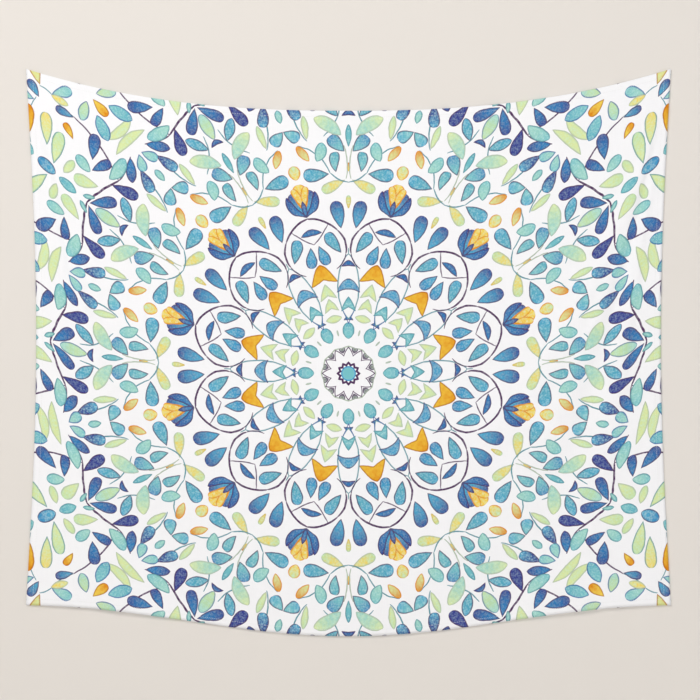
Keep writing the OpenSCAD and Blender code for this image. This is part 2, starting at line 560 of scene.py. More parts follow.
BORDER = [
    Stem((842, 152), (906, 160), -4, width=1.8),
    Stem((906, 160), (936, 158), 3, width=1.8),
    Stem((890, 20), (930, 128), -12, width=1.8),
    Leaf((802, 194), (752, 158), 31, F.LEAF, TEALS, rim=P.NAVY),
    Leaf((826, 16), (848, 96), 31, F.DROP, GREENS, rim=P.LINE),
    Leaf((858, 44), (896, 112), 31, F.DROP, (P.LIME, P.YELLOW), rim=P.LINE),
    Leaf((902, 38), (938, 98), 30, F.DROP, (P.GOLD, P.AMBER), rim=P.EARTH),
    Leaf((840, 150), (884, 140), 22, F.DROP, DEEP_BLUES),
    Leaf((818, 104), (852, 124), 19, F.DROP, (P.YELLOW, P.AMBER), rim=P.EARTH),
    Leaf(on_axis(812), on_axis(860), 30, F.BUD, BLUES),
    Leaf(on_axis(872), on_axis(912), 34, F.PETAL, TEALS, rim=P.LINE),
    Leaf(on_seam(856), on_seam(808), 25, F.DROP, SUNS, rim=P.EARTH),
    Leaf((836, 206), (824, 158), 27, F.LEAF, FRESH, rim=P.NAVY),
    Leaf((906, 160), (874, 204), 28, F.DROP, PALE_TEALS, rim=P.NAVY),
    Leaf((906, 158), (864, 166), 20, F.LEAF, (P.YELLOW, P.LIME), rim=P.SAGE),
    Leaf(on_seam(896), on_seam(952), 34, F.DROP, (P.PLUM, P.PLUM)),
    Leaf((936, 160), (980, 200), 28, F.DROP, (P.LIME, P.GOLD), rim=P.EARTH),
    Leaf((924, 132), (962, 152), 24, F.DROP, DEEP_BLUES),
    Leaf((930, 118), (978, 112), 25, F.DROP, PALE_TEALS, rim=P.NAVY),
    Leaf((970, 158), (1012, 148), 26, F.DROP, GREENS, rim=P.LINE),
    Leaf((996, 176), (988, 222), 24, F.DROP, NAVIES),
    Leaf((948, 76), (996, 84), 22, F.DROP, GREENS, rim=P.LINE),
]


# ---------------------------------------------------------------- the print's brushes

EDGE_SHARPNESS = 1.5
BOW_PEAK = 4.0  # what brings along * (1 - along) to 1 at its middle
LINE_WEIGHT = 1.25
LIE_SOCKETS = ("Along x", "Along y", "Along start", "Side x", "Side y", "Side start")


def lie_of(start: Place, end: Place, half_width: float) -> dict[str, float]:
    """Works out a motif's own directions as sums of the place's two parts.

    Args:
        start: Where the motif begins, which is 0 along.
        end: Where it ends, which is 1 along.
        half_width: The distance to the side that counts as 1.

    Returns:
        The values of a brush's six lie inputs, by name.
    """
    run = math.hypot(end[0] - start[0], end[1] - start[1])
    cos, sin = (end[0] - start[0]) / run, (end[1] - start[1]) / run
    along = (cos / run, sin / run, -(start[0] * cos + start[1] * sin) / run)
    side = (-sin / half_width, cos / half_width, (start[0] * sin - start[1] * cos) / half_width)
    return {label.replace(" ", "_"): value for label, value in zip(LIE_SOCKETS, (*along, *side))}


def own_place(graph: Graph, inputs: bpy.types.NodeOutputs) -> tuple[Source, Source]:
    """Reads the place in the motif's own directions.

    Args:
        graph: The brush's graph.
        inputs: The brush's inputs.

    Returns:
        How far along and how far to the side it is.
    """
    along = graph.math("MULTIPLY_ADD", inputs["Y"], inputs["Along y"], inputs["Along start"])
    side = graph.math("MULTIPLY_ADD", inputs["Y"], inputs["Side y"], inputs["Side start"])
    return (
        graph.math("MULTIPLY_ADD", inputs["X"], inputs["Along x"], along),
        graph.math("MULTIPLY_ADD", inputs["X"], inputs["Side x"], side),
    )


@dataclass
class Brushes:
    """The shader groups that paint the mandala, each over the colour below it."""

    wedge: Effect = field(init=False)
    leaf: Effect = field(init=False)
    stem: Effect = field(init=False)
    hoop: Effect = field(init=False)
    star: Effect = field(init=False)

    def __post_init__(self) -> None:
        """Builds each brush."""
        self.wedge = self.build_wedge()
        self.leaf = self.build_leaf()
        self.stem = self.build_stem()
        self.hoop = self.build_hoop()
        self.star = self.build_star()

    @staticmethod
    def build_wedge() -> Effect:
        """Folds the whole circle of the print into one half wedge.

        Returns:
            The group, which gives the folded place, the radius and the share of the half wedge.
        """
        effect = Effect(
            "Mirrored wedge", {"Place": VECTOR}, {"Folded": VECTOR, "Radius": FLOAT, "Share": FLOAT})
        graph, inputs = effect.begin()
        parts = graph.parts(inputs["Place"])
        turn = graph.math("ARCTAN2", parts[0], parts[1])
        angle = graph.math("PINGPONG", turn, HALF_WEDGE)
        radius = graph.vector("LENGTH", inputs["Place"], output="Value")
        along = graph.math("MULTIPLY", radius, graph.math("COSINE", angle))
        across = graph.math("MULTIPLY", radius, graph.math("SINE", angle))
        folded = graph.add("ShaderNodeCombineXYZ")
        graph.feed(folded.inputs[0], along)
        graph.feed(folded.inputs[1], across)
        share = graph.math("DIVIDE", angle, HALF_WEDGE)
        effect.end(graph, Folded=folded.outputs[0], Radius=radius, Share=share)
        return effect

    @staticmethod
    def brush(name: str, inks: Sequence[str], values: Sequence[str]) -> Effect:
        """Names a brush with its colour inputs, after the colour below it, and its number inputs."""
        return Effect(name, sockets(COLOUR, "Under", *inks) | sockets(FLOAT, *values), {"Colour": COLOUR})

    @staticmethod
    def lay(effect: Effect, graph: Graph, inputs: bpy.types.NodeOutputs, depth: Source, ink: Source,
            pressure: Optional[Source] = None) -> Effect:
        """Ends a brush by laying its ink over the colour below, with a sharp edge.

        Args:
            effect: The brush.
            graph: Its graph.
            inputs: Its inputs.
            depth: How far inside the drawn shape the place is, in millimetres.
            ink: The ink's colour.
            pressure: How strongly the ink covers, if not fully.

        Returns:
            The finished brush.
        """
        cover = graph.math("MULTIPLY", depth, EDGE_SHARPNESS, clamp=True)
        if pressure is not None:
            cover = graph.math("MULTIPLY", cover, pressure)
        effect.end(graph, Colour=graph.mix(cover, inputs["Under"], ink))
        return effect

    def build_leaf(self) -> Effect:
        """Paints one leaf: a wash from root to tip, pooled and lined at its edge.

        Returns:
            The group, which gives the colour with the leaf over it.
        """
        inks = ("Root wash", "Tip wash", "Rim")
        shape = ("Half width", "Root power", "Tip power", "Peak", "Bend", "Rim strength", "Flow", "Bloom")
        effect = self.brush("Painted leaf", inks, ("X", "Y", *LIE_SOCKETS, *shape))
        graph, inputs = effect.begin()
        along, side = own_place(graph, inputs)
        rest = graph.math("SUBTRACT", 1.0, along)
        opening = graph.math("POWER", along, inputs["Root power"])
        closing = graph.math("POWER", rest, inputs["Tip power"])
        half = graph.math("MULTIPLY", graph.math("MULTIPLY", opening, closing), inputs["Peak"])
        bow = graph.math("MULTIPLY", along, rest)
        off = graph.math("ABSOLUTE", graph.math("MULTIPLY_ADD", bow, inputs["Bend"], side))
        depth = graph.math("MULTIPLY", graph.math("SUBTRACT", half, off), inputs["Half width"])
        drawn = graph.math("MULTIPLY_ADD", along, along, -0.60)
        flow = graph.math("MULTIPLY_ADD", inputs["Flow"], 1.3, drawn, clamp=True)
        wash = graph.mix(flow, inputs["Root wash"], inputs["Tip wash"])
        pale = graph.mix(inputs["Bloom"], wash, Pigment.MIST.linear)
        lined = graph.math("MULTIPLY_ADD", depth, -0.27, 1.25, clamp=True)
        edge = graph.math("MULTIPLY", lined, inputs["Rim strength"])
        painted = graph.mix(edge, pale, inputs["Rim"])
        return self.lay(effect, graph, inputs, depth, painted)

    def build_stem(self) -> Effect:
        """Draws one fine line with a bow to one side.

        Returns:
            The group, which gives the colour with the line over it.
        """
        effect = self.brush("Drawn stem", ("Ink",), ("X", "Y", *LIE_SOCKETS, "Width", "Bow", "Flow"))
        graph, inputs = effect.begin()
        along, side = own_place(graph, inputs)
        bow = graph.math("MULTIPLY", along, graph.math("SUBTRACT", 1.0, along))
        off = graph.math("ABSOLUTE", graph.math("MULTIPLY_ADD", bow, inputs["Bow"], side))
        half = graph.math("MULTIPLY", graph.math("POWER", bow, 0.15), inputs["Width"])
        depth = graph.math("SUBTRACT", half, off)
        pressure = graph.math("MULTIPLY_ADD", inputs["Flow"], 0.8, 0.55, clamp=True)
        return self.lay(effect, graph, inputs, depth, inputs["Ink"], pressure)

    def build_hoop(self) -> Effect:
        """Draws one circle, or a disc.

        Returns:
            The group, which gives the colour with the circle over it.
        """
        effect = self.brush("Drawn hoop", ("Ink",), ("X", "Y", "Centre x", "Centre y", "Radius", "Width"))
        graph, inputs = effect.begin()
        away = graph.math("SUBTRACT", inputs["X"], inputs["Centre x"])
        aside = graph.math("SUBTRACT", inputs["Y"], inputs["Centre y"])
        square = graph.math("MULTIPLY_ADD", away, away, graph.math("MULTIPLY", aside, aside))
        reach = graph.math("SQRT", square)
        off = graph.math("ABSOLUTE", graph.math("SUBTRACT", reach, inputs["Radius"]))
        depth = graph.math("SUBTRACT", inputs["Width"], off)
        return self.lay(effect, graph, inputs, depth, inputs["Ink"])

    def build_star(self) -> Effect:
        """Draws one line round the centre, from one radius on the axes to another on the seams.

        Returns:
            The group, which gives the colour with the line over it.
        """
        effect = self.brush("Drawn star", ("Ink",), ("Radius", "Share", "On axis", "Rise", "Width"))
        graph, inputs = effect.begin()
        line = graph.math("MULTIPLY_ADD", inputs["Share"], inputs["Rise"], inputs["On axis"])
        off = graph.math("ABSOLUTE", graph.math("SUBTRACT", inputs["Radius"], line))
        depth = graph.math("SUBTRACT", inputs["Width"], off)
        return self.lay(effect, graph, inputs, depth, inputs["Ink"])


@dataclass
class MandalaPrint:
    """One ring of the print as a group, from a place on the flat cloth to its colour."""

    name: str
    motifs: Sequence[Motif]
    brushes: Brushes
    hand_sway: float = 4.0
    shared: dict[str, Source] = field(default_factory=dict)

    def build(self) -> Effect:
        """Paints the motifs over one another in their order.

        Returns:
            The group, which takes a place in millimetres from the sheet's centre.
        """
        effect = Effect(self.name, {"Place": VECTOR}, {"Colour": COLOUR})
        graph, inputs = effect.begin()
        wedge = self.brushes.wedge.place(graph, Place=inputs["Place"])
        folded, radius, share = (wedge.outputs[name] for name in ("Folded", "Radius", "Share"))
        sway = graph.noise(folded, 0.045, 2.0, "Color")
        shaken = graph.vector("MULTIPLY_ADD", sway, (self.hand_sway, self.hand_sway, 0.0), folded)
        middle = (-self.hand_sway / 2, -self.hand_sway / 2, 0.0)
        place = graph.parts(graph.vector("ADD", shaken, middle))
        flow = graph.noise(folded, 0.11, 3.0)
        mottle = graph.share(graph.noise(folded, 0.24, 2.0), flow, 0.55)
        bloom = graph.math("MULTIPLY_ADD", mottle, 2.3, -1.02, clamp=True)
        self.shared = {
            "x": place[0], "y": place[1], "radius": radius, "share": share, "flow": flow,
            "none": 0.0, "faint": graph.math("MULTIPLY", bloom, 0.5), "full": bloom,
        }
        colour: Source = Pigment.PAPER.linear
        for motif in self.motifs:
            colour = self.paint(graph, motif, colour)
        effect.end(graph, Colour=colour)
        return effect

    def paint(self, graph: Graph, motif: Motif, under: Source) -> bpy.types.NodeSocket:
        """Paints one motif.

        Args:
            graph: The print's graph.
            motif: The motif to paint.
            under: The colour below it.

        Returns:
            The colour with the motif over it.
        """
        shared = self.shared
        spot = {"Under": under, "X": shared["x"], "Y": shared["y"]}
        if isinstance(motif, Leaf):
            half = motif.width / 2
            powers = motif.form.value
            brush = self.brushes.leaf.place(
                graph, **spot, **lie_of(motif.root, motif.tip, half), Half_width=half,
                Root_power=powers[0], Tip_power=powers[1], Peak=motif.form.peak,
                Bend=-BOW_PEAK * motif.bend / half, Root_wash=motif.wash[0].linear,
                Tip_wash=motif.wash[1].linear, Rim=motif.rim.linear, Rim_strength=motif.rim_strength,
                Flow=shared["flow"], Bloom=shared[motif.bloom],
            )
        elif isinstance(motif, Stem):
            brush = self.brushes.stem.place(
                graph, **spot, **lie_of(motif.start, motif.end, 1.0), Width=motif.width * LINE_WEIGHT,
                Bow=-BOW_PEAK * motif.bow, Ink=motif.ink.linear, Flow=shared["flow"],
            )
        elif isinstance(motif, Hoop):
            brush = self.brushes.hoop.place(
                graph, **spot, Centre_x=motif.centre[0], Centre_y=motif.centre[1], Radius=motif.radius,
                Width=motif.width, Ink=motif.ink.linear,
            )
        else:
            brush = self.brushes.star.place(
                graph, Under=under, Radius=shared["radius"], Share=shared["share"], On_axis=motif.on_axis,
                Rise=motif.on_seam - motif.on_axis, Width=motif.width, Ink=motif.ink.linear,
            )
        return brush.outputs["Colour"]


# ---------------------------------------------------------------- finishes

@dataclass(frozen=True)
class FlatCut:
    """The finished sheet laid flat, in metres."""

    width: float = 1.524
    length: float = 1.270


CUT = FlatCut()
RING_STEP = 110.0
RING_COUNT = 9
RING_MARGIN = 12.0
YARN_PITCH = 0.6
SLUB_STRETCH = (0.03, 1.2)


def ring_of(u: float, v: float) -> int:
    """The index of the ring that holds a point, given by its shares across and up the cloth."""
    radius = math.hypot((u - 0.5) * CUT.width, (v - 0.5) * CUT.length) / MM
    return min(RING_COUNT - 1, int(radius / RING_STEP))


def motifs_of(ring: int, motifs: Sequence[Motif]) -> list[Motif]:
    """Picks the motifs that may show in one ring.

    Args:
        ring: The ring's index.
        motifs: All the motifs.

    Returns:
        The ring's motifs, in their order.
    """
    low = ring * RING_STEP - RING_MARGIN
    high = math.inf if ring == RING_COUNT - 1 else (ring + 1) * RING_STEP + RING_MARGIN
    return [motif for motif in motifs if motif.reach[1] > low and motif.reach[0] < high]


def cut_place(graph: Graph) -> bpy.types.NodeSocket:
    """Reads the place on the flat cloth, in millimetres from its centre.

    Args:
        graph: The material's graph.

    Returns:
        The place's socket.
    """
    chart = graph.add("ShaderNodeUVMap", uv_map="cut")
    place = graph.add("ShaderNodeMapping", vector_type="POINT")
    graph.feed(place.inputs["Vector"], chart.outputs["UV"])
    graph.feed(place.inputs["Location"], (-CUT.width / 2 / MM, -CUT.length / 2 / MM, 0.0))
    graph.feed(place.inputs["Scale"], (CUT.width / MM, CUT.length / MM, 1.0))
    return place.outputs[0]


def build_weave() -> Effect:
    """Plain weave of fine yarn with slubs.

    Returns:
        The group, which gives a height and a shade from 0 to 1.
    """
    effect = Effect("Plain weave", {"Place": VECTOR, "Pitch": FLOAT}, sockets(FLOAT, "Height", "Shade"))
    graph, inputs = effect.begin()
    rate = graph.math("DIVIDE", 2 * math.pi, inputs["Pitch"])
    place = graph.parts(inputs["Place"])
    warp, weft = (graph.math("SINE", graph.math("MULTIPLY", place[part], rate)) for part in (0, 1))
    cross = graph.math("MULTIPLY", warp, weft)
    stretches = ((*SLUB_STRETCH, 1.0), (*reversed(SLUB_STRETCH), 1.0))
    long_slub, tall_slub = (
        graph.noise(graph.vector("MULTIPLY", inputs["Place"], stretch), 1.0, 2.0) for stretch in stretches)
    slubs = graph.math("ADD", long_slub, tall_slub)
    height = graph.math("MULTIPLY_ADD", cross, 0.25, slubs)
    effect.end(graph, Height=height, Shade=graph.ramp(slubs, 0.6, 1.4))
    return effect


def build_handling() -> Effect:
    """Soft uneven tone left by making and handling.

    Returns:
        The group, which gives a broad cloud and a fine speckle from 0 to 1.
    """
    effect = Effect("Handling", {"Place": VECTOR, "Scale": FLOAT}, sockets(FLOAT, "Cloud", "Speckle"))
    graph, inputs = effect.begin()
    cloud = graph.noise(inputs["Place"], inputs["Scale"], 3.0)
    speckle = graph.noise(inputs["Place"], graph.math("MULTIPLY", inputs["Scale"], 14.0), 2.0)
    effect.end(graph, Cloud=graph.ramp(cloud, 0.3, 0.7), Speckle=graph.ramp(speckle, 0.3, 0.7))
    return effect


class Mask(Enum):
    """The masks that the handling group gives."""

    CLOUD = "Cloud"
    SPECKLE = "Speckle"


Tone = tuple[float, float, float, float]
BUMP_STRENGTH = 0.5
REVERSE_FADE = 0.72


@dataclass(frozen=True)
class Finish:
    """A finish's name and the settings of its shader."""

    name: str
    roughness: float = 0.85
    relief: float = 0.00015
    sheen: float = 0.1
    metallic: float = 0.0
    specular: float = 0.2

    def begin(self) -> tuple[Graph, bpy.types.Material]:
        """Makes the finish's empty material.

        Returns:
            Its graph and the material.
        """
        material = bpy.data.materials.new(self.name)
        material.use_nodes = True
        material.node_tree.nodes.clear()
        return Graph(material.node_tree), material

    def close(self, graph: Graph, colour: Source, roughness: Optional[Source] = None,
              height: Optional[Source] = None) -> None:
        """Adds the shader that the finish ends in.

        Args:
            graph: The material's graph.
            colour: The base colour.
            roughness: The roughness where it varies.
            height: What the bump follows, if it has any.
        """
        shader = graph.add("ShaderNodeBsdfPrincipled")
        settings = {
            "Base Color": colour, "Roughness": self.roughness if roughness is None else roughness,
            "Metallic": self.metallic, "Sheen Weight": self.sheen, "Specular IOR Level": self.specular,
        }
        for label, source in settings.items():
            graph.feed(shader.inputs[label], source)
        if height is not None:
            bump_node = graph.add("ShaderNodeBump")
            bump_node.inputs["Strength"].default_value = BUMP_STRENGTH
            bump_node.inputs["Distance"].default_value = self.relief
            graph.feed(bump_node.inputs["Height"], height)
            graph.feed(shader.inputs["Normal"], bump_node.outputs["Normal"])
        out = graph.add("ShaderNodeOutputMaterial")
        graph.feed(out.inputs["Surface"], shader.outputs[0])


@dataclass(frozen=True)
class PrintedCloth(Finish):
    """Light woven cloth with the print on it, or with the print showing through from the front."""

    fade: float = 0.0
    cloth: Tone = (0.86, 0.86, 0.85, 1.0)
    slub_shade: float = 0.05

    def material(self, weave: Effect, mandala: Effect) -> bpy.types.Material:
        """Dresses the cloth in one ring of the print.

        Args:
            weave: The weave's group.
            mandala: The ring's print.

        Returns:
            The material.
        """
        graph, material = self.begin()
        place = cut_place(graph)
        yarn = weave.place(graph, Place=place, Pitch=YARN_PITCH)
        colour = mandala.place(graph, Place=place).outputs["Colour"]
        if self.fade:
            colour = graph.mix(self.fade, colour, self.cloth)
        shade = graph.math("MULTIPLY_ADD", yarn.outputs["Shade"], self.slub_shade, 1 - self.slub_shade)
        self.close(graph, graph.mix(1.0, colour, shade, "MULTIPLY"), height=yarn.outputs["Height"])
        return material


@dataclass(frozen=True)
class TrimFinish(Finish):
    """A finish of two tones, which lie by uneven handling and by its ridges, whose grooves take the dark
    tone as painted shade.
    """

    light: Tone = (0.90, 0.90, 0.89, 1.0)
    # The dark tone stands for random wear and, in the grooves of any ridges, for painted shade.
    dark: Tone = (0.66, 0.66, 0.66, 1.0)
    pitch: float = 9000.0
    cloud_scale: float = 40.0
    worn_by: Mask = Mask.CLOUD
    worn_share: float = 0.3
    dulled_by: Mask = Mask.SPECKLE
    dulled_span: float = 0.0

    def ridges_and_groove_shade(self, graph: Graph, place: Source) -> Optional[bpy.types.NodeSocket]:
        """The ridges it is woven or spun in, from 0 to 1, if it has any; they give the bump height and a
        painted shade in their grooves.
        """
        return None

    def material(self, handling: Effect) -> bpy.types.Material:
        """Dresses the trim.

        Args:
            handling: The uneven tone's group.

        Returns:
            The material.
        """
        graph, material = self.begin()
        place = graph.object_place()
        tone = handling.place(graph, Place=place, Scale=self.cloud_scale)
        wear_and_groove_shade = tone.outputs[self.worn_by.value]
        dulled = tone.outputs[self.dulled_by.value]
        ridges_and_groove_shade = self.ridges_and_groove_shade(graph, place)
        if ridges_and_groove_shade is not None:
            # The grooves between the ridges get the dark tone as painted shade, mixed with the random wear
            # tone.
            wear_and_groove_shade = graph.share(wear_and_groove_shade, ridges_and_groove_shade, self.worn_share)
        rough = self.roughness
        if self.dulled_span:
            rough = graph.math("MULTIPLY_ADD", dulled, self.dulled_span, rough - self.dulled_span / 2)
        height = dulled if ridges_and_groove_shade is None else ridges_and_groove_shade
        self.close(graph, graph.mix(wear_and_groove_shade, self.dark, self.light), rough, height)
        return material


@dataclass(frozen=True)
class SpunThread(TrimFinish):
    """White sewing thread, twisted of two plies."""

    def ridges_and_groove_shade(self, graph: Graph, place: Source) -> bpy.types.NodeSocket:
        """The slanting plies, which give the bump height and a painted shade between them."""
        return graph.wave(graph.vector("DOT_PRODUCT", place, (self.pitch, 0.0, self.pitch), output="Value"))


@dataclass(frozen=True)
class HerringboneTape(TrimFinish):
    """Cotton tape woven in a herringbone."""

    light: Tone = (0.80, 0.77, 0.70, 1.0)
    # The dark tone is the random wear and the painted shade in the twill's grooves.
    dark: Tone = (0.55, 0.52, 0.46, 1.0)
    pitch: float = 5200.0
    stripe: float = 0.0045
    cloud_scale: float = 120.0
    worn_by: Mask = Mask.SPECKLE
    worn_share: float = 0.35
    dulled_by: Mask = Mask.CLOUD
    dulled_span: float = 0.1

    def ridges_and_groove_shade(self, graph: Graph, place: Source) -> bpy.types.NodeSocket:
        """The twill, whose slant turns at each stripe; it gives the bump height and a painted shade in its
        grooves.
        """
        parts = graph.parts(place)
        slant = graph.math("ADD", graph.math("PINGPONG", parts[0], self.stripe), parts[2])
        return graph.wave(graph.math("MULTIPLY", slant, self.pitch))


@dataclass(frozen=True)
class RibbedSatin(TrimFinish):
    """Label ribbon with fine ribs along it."""

    # The dark tone is the random wear and the painted shade in the troughs of the ribs.
    dark: Tone = (0.74, 0.74, 0.74, 1.0)
    pitch: float = 11000.0
    cloud_scale: float = 90.0
    worn_share: float = 0.4
    dulled_span: float = 0.15

    def ridges_and_groove_shade(self, graph: Graph, place: Source) -> bpy.types.NodeSocket:
        """The ribs, which give the bump height and a painted shade in their troughs."""
        return graph.wave(graph.vector("DOT_PRODUCT", place, (0.0, 0.0, self.pitch), output="Value"))


@dataclass(frozen=True)
class BrushedNickel(TrimFinish):
    """Pressed eyelet metal with dulled high spots."""

    light: Tone = (0.72, 0.70, 0.67, 1.0)
    dark: Tone = (0.45, 0.43, 0.40, 1.0)
    cloud_scale: float = 260.0
    dulled_span: float = 0.18


@dataclass
class Finishes:
    """Every material of the hanging."""

    front: list[bpy.types.Material] = field(default_factory=list)
    reverse: list[bpy.types.Material] = field(default_factory=list)
    thread: bpy.types.Material = field(init=False)
    tape: bpy.types.Material = field(init=False)
    label: bpy.types.Material = field(init=False)
    metal: bpy.types.Material = field(init=False)

    def __post_init__(self) -> None:
        """Builds the shared groups and then the materials."""
        motifs = [*HEART, *GARLAND, *SPRAYS, *POLYGON, *BORDER]
        brushes = Brushes()
        weave = build_weave()
        handling = build_handling()
        for ring in range(RING_COUNT):
            chosen = motifs_of(ring, motifs)
            mandala = MandalaPrint(f"Mandala ring {ring + 1}", chosen, brushes).build()
            front = PrintedCloth(f"Printed cloth ring {ring + 1}")
            back = PrintedCloth(f"Reverse of the cloth ring {ring + 1}", fade=REVERSE_FADE)
            self.front.append(front.material(weave, mandala))
            self.reverse.append(back.material(weave, mandala))
            LOG.info("print ring %d: %d of %d motifs", ring + 1, len(chosen), len(motifs))
        self.thread = SpunThread("Sewing thread", 0.7, 0.00008).material(handling)
        self.tape = HerringboneTape("Cotton tape", 0.9, 0.00015).material(handling)
        self.label = RibbedSatin("Label satin", 0.425, 0.00004, specular=0.45).material(handling)
        self.metal = BrushedNickel("Satin nickel", 0.34, 0.00002, 0.0, 1.0, 0.5).material(handling)


# ---------------------------------------------------------------- the hung shape

# Each fold's height as a share of the belly, then its place and its spread down the swags.
SWAG_FOLDS = ((1.15, 0.80, 0.20), (-0.95, 1.07, 0.13), (0.80, 1.50, 0.26), (0.40, 0.40, 0.24))
FLANK_CREASES = ((0.42, 0.71, 0.06), (-0.40, 0.80, 0.045), (-0.30, 0.58, 0.07))


@dataclass
class HungShape:
    """Where each point of the flat cloth is as it hangs from its two upper corners."""

    half_w: float = CAD_HIGH.x
    corner_z: float = CAD_HIGH.z
    low_corner_z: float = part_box("left_hem")[0].z
    hem_w: float = 0.020
    top_curve: float = 2.4
    side_pull: float = 0.024
    corner_y: float = -0.0042
    belly: float = 0.0044
    side_h: float = field(init=False)
    top_sag: float = field(init=False)
    bottom_sag: float = field(init=False)

    def __post_init__(self) -> None:
        """Works out the sags from the CAD model's boxes."""
        self.side_h = self.corner_z - self.low_corner_z
        self.top_sag = self.corner_z - (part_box("top_hem")[0].z + self.hem_w)
        self.bottom_sag = self.low_corner_z - CAD_LOW.z

    def place(self, u: float, v: float) -> Vector:
        """Gives the hung place of a point of the cloth.

        Args:
            u: The share across, 0 at the left edge.
            v: The share up, 1 at the top edge.

        Returns:
            The place in metres.
        """
        p, q = 2 * u - 1, 1 - v
        size = abs(p)
        x = p * (self.half_w - self.side_pull * math.sin(math.pi * q))
        at_top = size ** self.top_curve
        at_low = math.sin(math.pi / 2 * min(1.0, size)) ** 2
        sag = self.top_sag * (1 - q) + self.bottom_sag * q
        edge_rise = self.top_sag * at_top * (1 - q) + self.bottom_sag * at_low * q
        edge = smooth(0.35, 1.0, abs(2 * q - 1))
        rise = edge_rise * (edge + (1 - edge) * (0.66 + 0.34 * smooth(0.8, 1.0, size)))
        z = self.corner_z - q * self.side_h - sag + rise
        return Vector((x, self.corner_y - self.relief(p, q, x, z), z))

    def behind(self, u: float, v: float, depth: float) -> Vector:
        """The hung place of a point of the cloth, some depth behind the sheet's front face."""
        return self.place(u, v) + Vector((0, depth, 0))

    def relief(self, p: float, q: float, x: float, z: float) -> float:
        """How far the cloth stands forward of its corners.

        Args:
            p: The share across, from -1 to 1.
            q: The share down, from 0 to 1.
            x: The hung place across, which is not used.
            z: The hung place up.

        Returns:
            The distance forward, in metres.
        """
        size = min(1.0, abs(p))
        held = smooth(0.0, 0.10, math.hypot(1 - size, q)) * smooth(0.0, 0.09, 1 - size)
        swag = (self.corner_z - z) / self.side_h / (1.03 - size ** 3)
        flank = math.sin(math.pi * min(1.0, size / 0.95)) ** 0.7
        folds = sum(height * bump(swag, *hill) for height, *hill in SWAG_FOLDS)
        creases = flank * sum(height * bump(swag, *hill) for height, *hill in FLANK_CREASES)
        ripple = 0.24 * math.sin(9.0 * p + 2.0 * q) * math.sin(math.pi * q)
        side = -0.5 * bump(size, 0.93, 0.06) * bump(q, 0.72, 0.16)
        lean = 0.25 * q
        swell = 0.55 * math.sin(math.pi * 0.5 * min(1.0, 1.6 * (1 - size) + q))
        return self.belly * held * (swell + folds + creases + ripple + side + lean)


def smooth(low: float, high: float, value: float) -> float:
    """A smooth step from 0 at low to 1 at high."""
    share = min(1.0, max(0.0, (value - low) / (high - low)))
    return share * share * (3 - 2 * share)


def bump(value: float, centre: float, spread: float) -> float:
    """A smooth hill of height 1 about a centre."""
    return math.exp(-((value - centre) / spread) ** 2)


# ---------------------------------------------------------------- meshes

@dataclass
class Workshop:
    """Makes finished objects from bmeshes."""

    finishes: Finishes

    @staticmethod
    def finish(name: str, mesh: bmesh.types.BMesh, materials: Sequence[bpy.types.Material],
               shade_smooth: bool = True) -> bpy.types.Object:
        """Turns a bmesh into an object at the origin.

        Args:
            name: The object's name.
            mesh: Its mesh, in place.
            materials: Its materials in slot order.
            shade_smooth: Whether its faces are shaded smooth.

        Returns:
            The object.
        """
        data = bpy.data.meshes.new(name)
        mesh.to_mesh(data)
        mesh.free()
        for material in materials:
            data.materials.append(material)
        for polygon in data.polygons:
            polygon.use_smooth = shade_smooth
        piece = bpy.data.objects.new(name, data)
        bpy.context.scene.collection.objects.link(piece)
        return piece

    @staticmethod
    def thicken(piece: bpy.types.Object, thickness: float, offset: float = -1, back: int = 0) -> None:
        """Gives a sheet its thickness.

        Args:
            piece: The sheet.
            thickness: Its thickness in metres.
            offset: -1 to thicken it to the back, or 0 to thicken it evenly.
            back: How many slots later the material of the back and the rim is.
        """
        shell = piece.modifiers.new("Thickness", "SOLIDIFY")
        shell.thickness = thickness
        shell.offset = offset
        shell.material_offset = back
        shell.material_offset_rim = back


class Side(Enum):
    """The four sides of the sheet."""

    TOP = "top"
    BOTTOM = "bottom"
    LEFT = "left"
    RIGHT = "right"

    @property
    def length(self) -> float:
        """The side's length on the flat cloth."""
        return CUT.width if self in (Side.TOP, Side.BOTTOM) else CUT.length

    def point(self, along: float, inset: float) -> tuple[float, float]:
        """Gives a point of the flat cloth near the side.

        Args:
            along: The distance along the side, in metres.
            inset: The distance in from the edge, or out from it where it is less than 0.

        Returns:
            The shares across and up.
        """
        share, across, up = along / self.length, inset / CUT.width, inset / CUT.length
        return {
            Side.TOP: (share, 1 - up),
            Side.BOTTOM: (share, up),
            Side.LEFT: (across, share),
            Side.RIGHT: (1 - across, share),
        }[self]


@dataclass
class ClothLayers:
    """How far behind the sheet's front face each layer is, in metres."""

    sheet: float = 0.0004
    hem_front: float = 0.0007
    hem_back: float = 0.0014


def across_hinge(piece: bpy.types.Object) -> None:
    """Bakes the place of a piece that crosses the hinge, where the cloth leaves its upper corners, into its
    mesh.
    """
    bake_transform(piece)


def follow_cloth(piece: bpy.types.Object, side: Side) -> None:
    """Lets a piece along the bottom side move with the cloth, and bakes a piece along another side in place.

    Args:
        piece: The piece.
        side: Its side, of which only the bottom one is wholly below the hinge.
    """
    if side is Side.BOTTOM:
        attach(piece, CLOTH_BODY)
    else:
        across_hinge(piece)


@dataclass
class ClothWork:
    """What each piece of the cloth is made with."""

    workshop: Workshop
    shape: HungShape
    layers: ClothLayers


